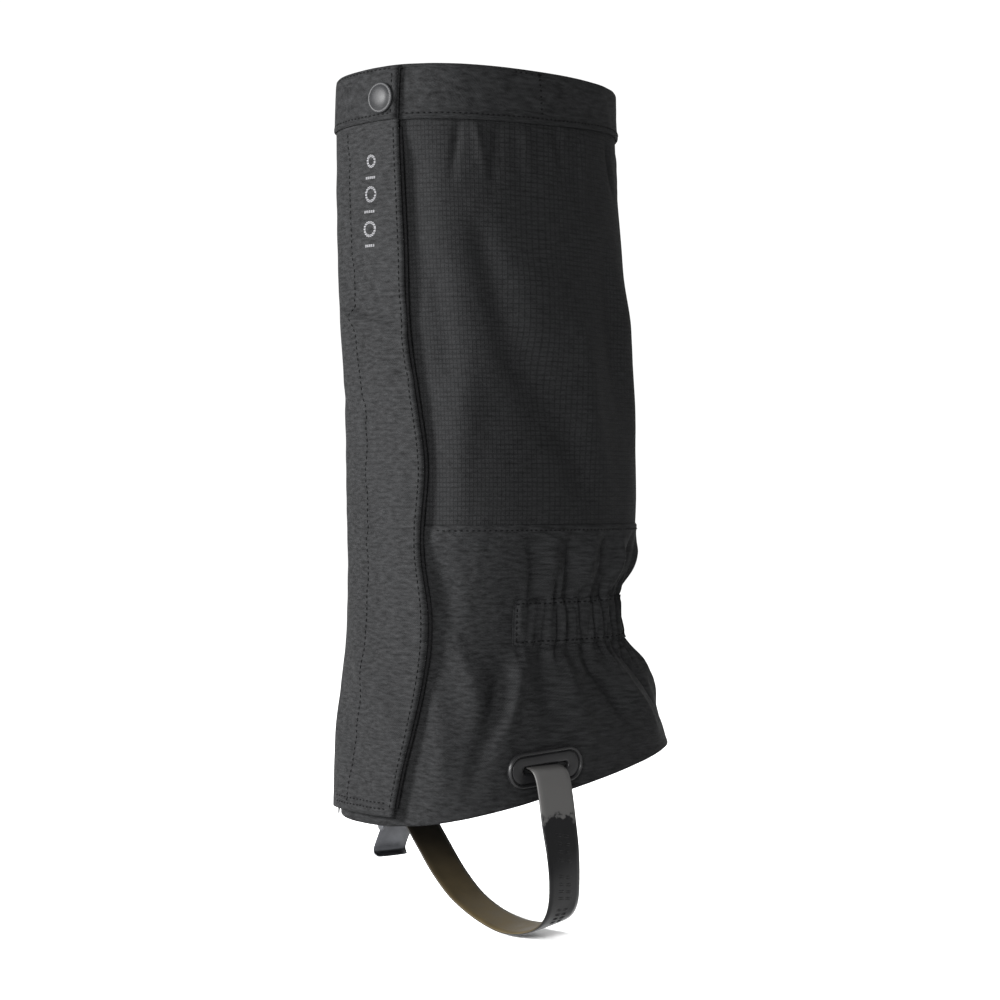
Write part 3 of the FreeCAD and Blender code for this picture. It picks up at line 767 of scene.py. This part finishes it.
def flap_point(height, share, extra=0.0):
    """A point of the flap: share 0 is where it is sewn on, 1 its free edge."""
    across = flap_across(share, height)
    rise = ramp(across, FLAP_ROOT + 2, -33)
    offset = 1.7 + 3.1 * rise + extra
    inward = flap_edge(height) - across
    offset += 0.9 * (1 - ramp(inward, 0, 7)) - 1.3 * (1 - ramp(inward, 0, 0.9))
    angle = front_angle(height, offset, across)
    swing = flap_relief(across, height) * ramp(abs(height - 302), 14, 34) * rise
    swing = max(swing, -1.0)
    return plain_point(height, offset + swing, angle)


def flap_spot(u, v):
    return flap_point(flap_height(v), u)


def flap_size(u, v):
    height = flap_height(v)
    return flap_across(u, height) * 1.1, height


def across_hinge(obj):
    """Bakes the object's transform into its mesh."""
    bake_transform(obj)


flap = sheet_piece("outer_flap_cloth", None, flap_spot, 60, 240, flap_size, flap_cloth, 1.0)
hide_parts("outer_flap", "flap_root")
across_hinge(flap)

TAB_PROFILE = [
    (0.35, 287.2), (0.9, 287.0), (1.3, 287.7), (1.3, 289.2), (1.0, 291), (0.95, 300),
    (0.95, 310), (0.9, 314.5), (0.6, 316.9), (-0.2, 317.9), (-1.0, 317.6), (-1.3, 316),
]


def tab_point(u, v):
    extra, height = along_profile(TAB_PROFILE, v)
    return flap_point(height, u, extra)


tab = sheet_piece("band_tab_cloth", None, tab_point, 60, 33,
                  lambda u, v: (u * 80, v * 36), pack_cloth, 0.5)
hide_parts("band_tab")
across_hinge(tab)


def tape_point(inset, offset):
    """A rule for hook or loop tape down the flap's inner face."""
    def point(u, v):
        height = TAPE_FOOT + (TAPE_TOP - TAPE_FOOT) * v
        right = flap_edge(height) - inset
        across = TAPE_LEFT + (right - TAPE_LEFT) * u
        return plain_point(height, offset, front_angle(height, offset, across))
    return point


def tape_size(u, v):
    return u * 42, v * (TAPE_TOP - TAPE_FOOT)


loop = sheet_piece("loop_tape_pile", GAITER, tape_point(0.5, 2.1), 20, 120, tape_size,
                   tape_cloth, 1.0)
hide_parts("loop_tape")
hook = sheet_piece("hook_tape_hooks", FLAP, tape_point(4, 3.5), 20, 120, tape_size,
                   tape_cloth, 0.9)
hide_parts("hook_tape")

# ---------- stitching


def surface_line(point, places):
    """Points with outward directions along a path on a surface."""
    line = []
    for a, b in places:
        spot = point(a, b)
        side = point(a + 0.002, b) - point(a - 0.002, b)
        rise = point(a, b + 0.002) - point(a, b - 0.002)
        line.append((spot, side.cross(rise).normalized()))
    return line


def along(count):
    return [index / count for index in range(count + 1)]


def across_share(across, v):
    return (across - FLAP_ROOT) / (flap_edge(flap_height(v)) - FLAP_ROOT)


def inset_from_edge(inset, v):
    return across_share(flap_edge(flap_height(v)) - inset, v)


SEAM_FOOT, SEAM_TOP = 0.012, 0.925       # shares of the flap's height
flap_lines = []
for inset in (2.2, 42):
    rises = [SEAM_FOOT + (SEAM_TOP - SEAM_FOOT) * v for v in along(150)]
    flap_lines.append(surface_line(flap_spot, [(inset_from_edge(inset, v), v) for v in rises]))
for rise in (0.010, 0.018):
    flap_lines.append(surface_line(flap_spot, [
        (across_share(-26 + 50 * u, rise), rise) for u in along(30)]))
seams = stitches("flap_stitching", FLAP, flap_lines, thread)
root_lines = [surface_line(flap_spot, [(across_share(-47, v), v) for v in along(150)])]
root_seam = stitches("root_stitching", GAITER, root_lines, thread)

tab_lines = [
    surface_line(tab_point, [(0.30 + 0.66 * u, 0.33) for u in along(30)]),
    surface_line(tab_point, [(0.965, 0.33 + 0.36 * v) for v in along(14)]),
    surface_line(tab_point, [(0.30 + 0.66 * u, 0.70) for u in along(30)]),
]
tab_seams = stitches("tab_stitching", FLAP, tab_lines, thread)


LINE_FOOT, LINE_REACH = -100, 400        # heights that a tube line's v runs through


def level_line(height, start, end, offset, count=260):
    """A line round the tube at one height."""
    def point(u, v):
        return tube_point(v * LINE_REACH + LINE_FOOT, offset, u * TAU)
    return surface_line(point, [
        ((start + (end - start) * u) / TAU, (height - LINE_FOOT) / LINE_REACH)
        for u in along(count)])


FRONT_START = 0.62
BACK_END = TAU - 0.62
band_lines = [surface_line(band_point, [(0.16 + 0.83 * u, 0.245) for u in along(260)])]
tube_lines = [level_line(PANEL_SEAM - 3.5, FRONT_START, BACK_END, 1.75)]
tube_seams = stitches("panel_stitching", GAITER, band_lines + tube_lines, thread)

casing_lines = [
    surface_line(casing_spot, [(u, 0.09) for u in along(360)][2:-2]),
    surface_line(casing_spot, [(u, 0.91) for u in along(360)][2:-2]),
    surface_line(casing_spot, [(0.008, 0.09 + 0.82 * v) for v in along(16)]),
    surface_line(casing_spot, [(0.992, 0.09 + 0.82 * v) for v in along(16)]),
]
casing_seams = stitches("casing_stitching", GAITER, casing_lines, thread, thick=0.5)

# bartack on the band: a short upright bar with a foot
tack_lines = []
for step in range(9):
    tack_lines.append(surface_line(band_point, [
        (0.343 + 0.0012 * k, 0.31 + 0.035 * step) for k in range(4)]))
for step in range(5):
    tack_lines.append(surface_line(band_point, [
        (0.318 + 0.006 * step + 0.0012 * k, 0.58) for k in range(5)]))
bartack = stitches("band_bartack", GAITER, tack_lines, thread, long=1.6, gap=0.3, thick=0.6)

# ---------- abstract motif
# Plain rings and bars in fine embroidery, down the flap.
MOTIF_ACROSS = 11
motif_lines = []


def flap_share(height):
    return (height - FLAP_FOOT) / (FLAP_TOP - FLAP_FOOT)


def motif_line(corners):
    motif_lines.append(surface_line(flap_spot, [
        (across_share(MOTIF_ACROSS + x, flap_share(z)), flap_share(z)) for x, z in corners]))


for height, outer in ((265, 3.6), (246, 4.4), (226, 4.4)):
    for grow in (0, 0.5, 1.0):
        radius = outer - grow
        motif_line([(radius * math.cos(TAU * u), height + radius * math.sin(TAU * u))
                    for u in along(24) + [1.05]])
for height in (256, 236.5, 217):
    for row in range(3):
        motif_line([(-4.5 + 9 * u, height - 0.5 * row) for u in along(6)])
motif = stitches("flap_motif", FLAP, motif_lines, motif_thread, long=1.5, gap=0.1, thick=0.3)

# ---------- lathe parts


def lathe(name, body, profile, origin, direction, material, steps=64):
    """A round part: profile is (radius, height along direction)."""
    direction = direction.normalized()
    side = direction.cross(Vector((0, 0, 1))).normalized()
    up = side.cross(direction).normalized()
    rings = []
    for radius, height in profile:
        rings.append([origin + direction * height
                      + (side * math.cos(TAU * k / steps) + up * math.sin(TAU * k / steps))
                      * max(radius, 0.01) for k in range(steps)])
    return solid_from_rings(name, body, rings, material)


snap_angle = front_angle(SNAP_Z, TAB_FACE, SNAP_X)
cap = lathe("snap_cap_dome", FLAP, [
    (8.2, -0.6), (8.7, 0.1), (8.8, 0.7), (8.6, 1.15), (8.1, 1.4), (7.7, 1.35), (7.45, 1.3),
    (7.1, 1.5), (6.3, 1.9), (5.2, 2.25), (3.8, 2.5), (2.2, 2.64), (0.9, 2.69), (0.1, 2.7)],
    plain_point(SNAP_Z, TAB_FACE, snap_angle), outward(SNAP_Z, snap_angle), snap_metal)
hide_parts("snap_cap")

# ---------- strap eyelet
EYELET = Vector((68.6, -5.3, -82.6))
EYELET_TILT = math.radians(3.4)


def oval(long, wide, x, steps=40):
    """A straight-sided, round-ended outline in the plane of the medial side."""
    reach = (long - wide) / 2
    ring = []
    for index in range(2 * steps):
        side = 1 if index < steps else -1
        turn = math.pi * ((index % steps) / (steps - 1) - 0.5)
        across = side * (reach + wide / 2 * math.cos(turn))
        up = side * wide / 2 * math.sin(turn)
        ring.append(EYELET + Vector((x - EYELET.x,
                                     across * math.cos(EYELET_TILT) - up * math.sin(EYELET_TILT),
                                     across * math.sin(EYELET_TILT) + up * math.cos(EYELET_TILT))))
    return ring


# length, width and distance from the leg's axis, round the eyelet's cross-section
EYELET_PROFILE = [
    (54, 20, 68.3), (54.3, 20.3, 69.4), (54.0, 20.0, 70.4), (53.2, 19.2, 71.0),
    (52.2, 18.2, 71.2), (51.2, 17.2, 71.0), (50.4, 16.4, 70.4), (50.0, 16.0, 69.5),
    (49.4, 15.4, 69.4), (49.0, 15.0, 70.1), (48.5, 14.5, 70.4), (47.6, 13.8, 70.5),
    (42, 10, 70.5), (36.5, 6.6, 70.5), (34.6, 5.0, 70.4), (33.4, 4.0, 69.9), (33.0, 3.8, 69.0),
    (33.0, 3.8, 63.2), (36, 8, 62.9), (48, 15, 62.9), (50, 17, 63.6), (49.5, 16.5, 64.4),
    (37, 8.6, 64.6), (36.6, 8.4, 66.5), (36.6, 8.4, 68.3),
]
eyelet = solid_from_rings("strap_eyelet", GAITER, [oval(*row) for row in EYELET_PROFILE],
                          moulded, closed=True)
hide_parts("eyelet_front", "eyelet_back", "eyelet_barrel")

# ---------- underfoot strap
STRAP_Y, STRAP_HALF, STRAP_GAUGE = -6, 12.5, 1.8
STRAP_ROUTE = [
    (60, -82), (70.5, -82.6), (76.2, -86.5), (79.6, -97), (83, -114), (86.3, -130), (87.6, -146),
    (86.2, -159), (80.5, -168), (70, -173.6), (56, -176.9), (42, -177.8), (27, -176), (11, -172),
    (-6, -165), (-23, -153.3), (-38, -139.5), (-49.5, -128.5), (-57.5, -121), (-63.4, -115.8),
    (-67, -114.4), (-70.5, -117.6), (-71.1, -122), (-71, -127.5),
]


def along_route(share):
    """A point and direction of the strap's centre line."""
    spot = share * (len(STRAP_ROUTE) - 1)
    index = min(int(spot), len(STRAP_ROUTE) - 2)
    t = spot - index
    before = Vector(STRAP_ROUTE[max(index - 1, 0)])
    low = Vector(STRAP_ROUTE[index])
    high = Vector(STRAP_ROUTE[index + 1])
    after = Vector(STRAP_ROUTE[min(index + 2, len(STRAP_ROUTE) - 1)])
    point = 0.5 * (2 * low + (high - before) * t + (2 * before - 5 * low + 4 * high - after) * t * t
                   + (3 * low - before - 3 * high + after) * t ** 3)
    slope = 0.5 * ((high - before) + (2 * before - 5 * low + 4 * high - after) * 2 * t
                   + (3 * low - before - 3 * high + after) * 3 * t * t)
    return point, slope.normalized()


def strap_frame(share):
    """The strap's centre, its normal and its small twist at a share of the route."""
    point, slope = along_route(share)
    twist = 0.15 * ramp(share, 0.16, 0.28) * (1 - ramp(share, 0.42, 0.6))
    return point, Vector((slope.y, -slope.x)), twist


def strap_ring(share):
    """The strap's rounded cross-section."""
    point, normal, twist = strap_frame(share)
    half = STRAP_HALF - 0.4
    gauge = STRAP_GAUGE / 2
    outline = []
    for side in (1, -1):
        for turn in (60, 35, 10, -10, -35, -60) if side > 0 else (-60, -35, -10, 10, 35, 60):
            angle = math.radians(turn)
            outline.append((side * (half - gauge + gauge * math.cos(angle) + 0.4),
                            gauge * math.sin(angle)))
        flat = -gauge if side > 0 else gauge
        for step in (0.75, 0.25, -0.25, -0.75):
            outline.append((side * half * step, flat))
    ring = []
    for across, out in outline:
        tilt = out + across * math.sin(twist)
        ring.append(Vector((point.x + normal.x * tilt, STRAP_Y + across,
                            point.y + normal.y * tilt)))
    return ring, outline


STRAP_STEPS = 220
rings = [strap_ring(index / STRAP_STEPS)[0] for index in range(STRAP_STEPS + 1)]
outline = strap_ring(0.5)[1]
strap = solid_from_rings("underfoot_strap_band", GAITER, rings, strap_rubber)
inner = strap.data.attributes.new("inner", "FLOAT", "POINT")
rubbed = strap.data.attributes.new("rubbed", "FLOAT", "POINT")
painted_sheen = strap.data.attributes.new("painted_sheen", "FLOAT", "POINT")
for ring_index in range(STRAP_STEPS + 1):
    share = ring_index / STRAP_STEPS
    for spot, (across, out) in enumerate(outline):
        vertex = ring_index * len(outline) + spot
        inside = 1.0 if out > 0 else 0.0
        inner.data[vertex].value = inside
        # painted highlight: marks the outer face near the top of the strap for grey paint, where it
        # reflects the light
        painted_sheen.data[vertex].value = (1 - ramp(share, 0.12, 0.21)) * (1 - inside)
        rubbed.data[vertex].value = ramp(share, 0.30, 0.42) * (1 - ramp(share, 0.5, 0.78))
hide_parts("underfoot_strap")


def strap_face(share, across):
    """A point on the strap's outer face and the direction out of it."""
    point, normal, twist = strap_frame(share)
    tilt = across * math.sin(twist) - STRAP_GAUGE / 2
    return (Vector((point.x + normal.x * tilt, STRAP_Y + across, point.y + normal.y * tilt)),
            Vector((-normal.x, 0, -normal.y)))


# plain slanted ribs moulded on the strap's outer face
rib_lines = []
for rib in range(14):
    share = 0.185 + 0.0125 * rib
    if rib % 5 == 4:
        continue
    for row in range(2):
        rib_lines.append([strap_face(share + 0.0035 * row + 0.006 * u, -6 + 12 * u)
                          for u in along(8)])
ribs = stitches("strap_ribs", GAITER, rib_lines, strap_rubber, long=5.4, gap=0.6, thick=0.3)

# ---------- buckle lever
LEVER_HALF, LEVER_GAUGE = 12.4, 1.3
PIVOT = Vector((-75.6, STRAP_Y, -124))
LEVER_LINE = [
    (-74.2, -128.4), (-75.3, -130.6), (-77.6, -134.6), (-80.2, -139.1), (-82.7, -143.4),
    (-84.3, -146.4), (-84.7, -148.2), (-84.0, -149.8), (-82.3, -151.0), (-80.2, -151.6),
]


def lever_ring(index):
    """A rounded cross-section of the pressed thumb plate."""
    here = Vector(LEVER_LINE[index])
    ahead = Vector(LEVER_LINE[min(index + 1, len(LEVER_LINE) - 1)])
    behind = Vector(LEVER_LINE[max(index - 1, 0)])
    slope = (ahead - behind).normalized()
    normal = Vector((slope.y, -slope.x))
    narrow = 1.2 * ramp(index, 6, 9) ** 2
    ring = []
    gauge = LEVER_GAUGE / 2
    for side in (1, -1):
        for turn in (70, 35, 0, -35, -70) if side > 0 else (-70, -35, 0, 35, 70):
            angle = math.radians(turn)
            across = side * (LEVER_HALF - narrow - gauge + gauge * math.cos(angle))
            out = gauge * math.sin(angle)
            ring.append(Vector((here.x + normal.x * out, STRAP_Y + across,
                                here.y + normal.y * out)))
    return ring


lever = solid_from_rings("cam_lever_plate", LEVER,
                         [lever_ring(index) for index in range(len(LEVER_LINE))], steel)
curve = lever.modifiers.new("curve", "SUBSURF")
curve.levels = curve.render_levels = 2
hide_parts("buckle_lever")

barrel_rings = []
for step, bulge in enumerate((-0.5, 0, 0, 0, 0, 0, 0, -0.5)):
    across = -11.9 + 23.8 * step / 7
    barrel_rings.append([PIVOT + Vector((math.cos(turn), 0, math.sin(turn)))
                         * (3.45 + bulge + 0.15 * math.cos(12 * turn)) + Vector((0, across, 0))
                         for turn in (TAU * k / 96 for k in range(96))])
barrel = solid_from_rings("cam_lever_barrel", LEVER, barrel_rings, steel)
for side, name in ((-1, "cam_lever_flange_front"), (1, "cam_lever_flange_rear")):
    flange_rings = []
    for across, shrink in ((12.4, 0.35), (12.25, 0.08), (11.9, 0), (11.5, 0), (11.2, 0.2)):
        ring = []
        for step in range(40):
            turn = TAU * step / 40
            reach = 3.1 - shrink
            upper_half = math.sin(turn) > 0
            middle = Vector((-76.0, 0, -126.0) if upper_half else (-77.0, 0, -131.5))
            ring.append(middle + Vector((math.cos(turn) * reach, STRAP_Y + side * across,
                                         math.sin(turn) * reach)))
        flange_rings.append(ring if side > 0 else list(reversed(ring)))
    cheek = solid_from_rings(name, LEVER, flange_rings, steel)

# ---------- carried-over parts


def dress(node, material):
    """Gives a CAD part that keeps its shape a finished material."""
    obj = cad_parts[node]
    obj = obj if hasattr(obj, "data") else bpy.data.objects[obj]
    if not obj.material_slots:
        obj.data.materials.append(material)
    for slot_of in obj.material_slots:
        slot_of.link = "OBJECT"
        slot_of.material = material


for node, material in (
        ("snap_socket", snap_metal), ("snap_stud", snap_metal), ("snap_post", snap_metal),
        ("strap_stop", moulded), ("buckle_frame", steel), ("buckle_pin", steel),
        ("buckle_tab", webbing)):
    dress(node, material)

# ---------- stage and light
FLOOR, FLOOR_REACH = -182, 6000
floor_mesh = bpy.data.meshes.new("floor")
floor_mesh.from_pydata([Vector((x * FLOOR_REACH, y * FLOOR_REACH, FLOOR)) * MM
                        for x, y in ((-1, -1), (1, -1), (1, 1), (-1, 1))], [], [(0, 1, 2, 3)])
floor = bpy.data.objects.new("floor", floor_mesh)
bpy.context.scene.collection.objects.link(floor)
floor_paint, _ = new_material("floor_paint", (0.96, 0.96, 0.96), 0.9)
floor.data.materials.append(floor_paint)

world = bpy.data.worlds.new("studio")
world.use_nodes = True
world.node_tree.nodes["Background"].inputs["Color"].default_value = (1, 1, 1, 1)
world.node_tree.nodes["Background"].inputs["Strength"].default_value = 1.06
bpy.context.scene.world = world
bpy.context.scene.view_settings.view_transform = "Standard"


def area_light(name, place, target, width, power):
    data = bpy.data.lights.new(name, "AREA")
    data.shape = "DISK"
    data.size = width
    data.energy = power
    obj = bpy.data.objects.new(name, data)
    obj.location = place
    obj.rotation_mode = "QUATERNION"
    obj.rotation_quaternion = (Vector(target) - Vector(place)).to_track_quat("-Z", "Y")
    bpy.context.scene.collection.objects.link(obj)


# key from the toe side, fill from beside the camera, low and wide
area_light("key", (-0.30, -1.85, 0.62), (0, 0, 0.08), 0.6, 215)
area_light("fill", (1.25, -1.60, 0.5), (0, 0, 0.06), 0.45, 88)
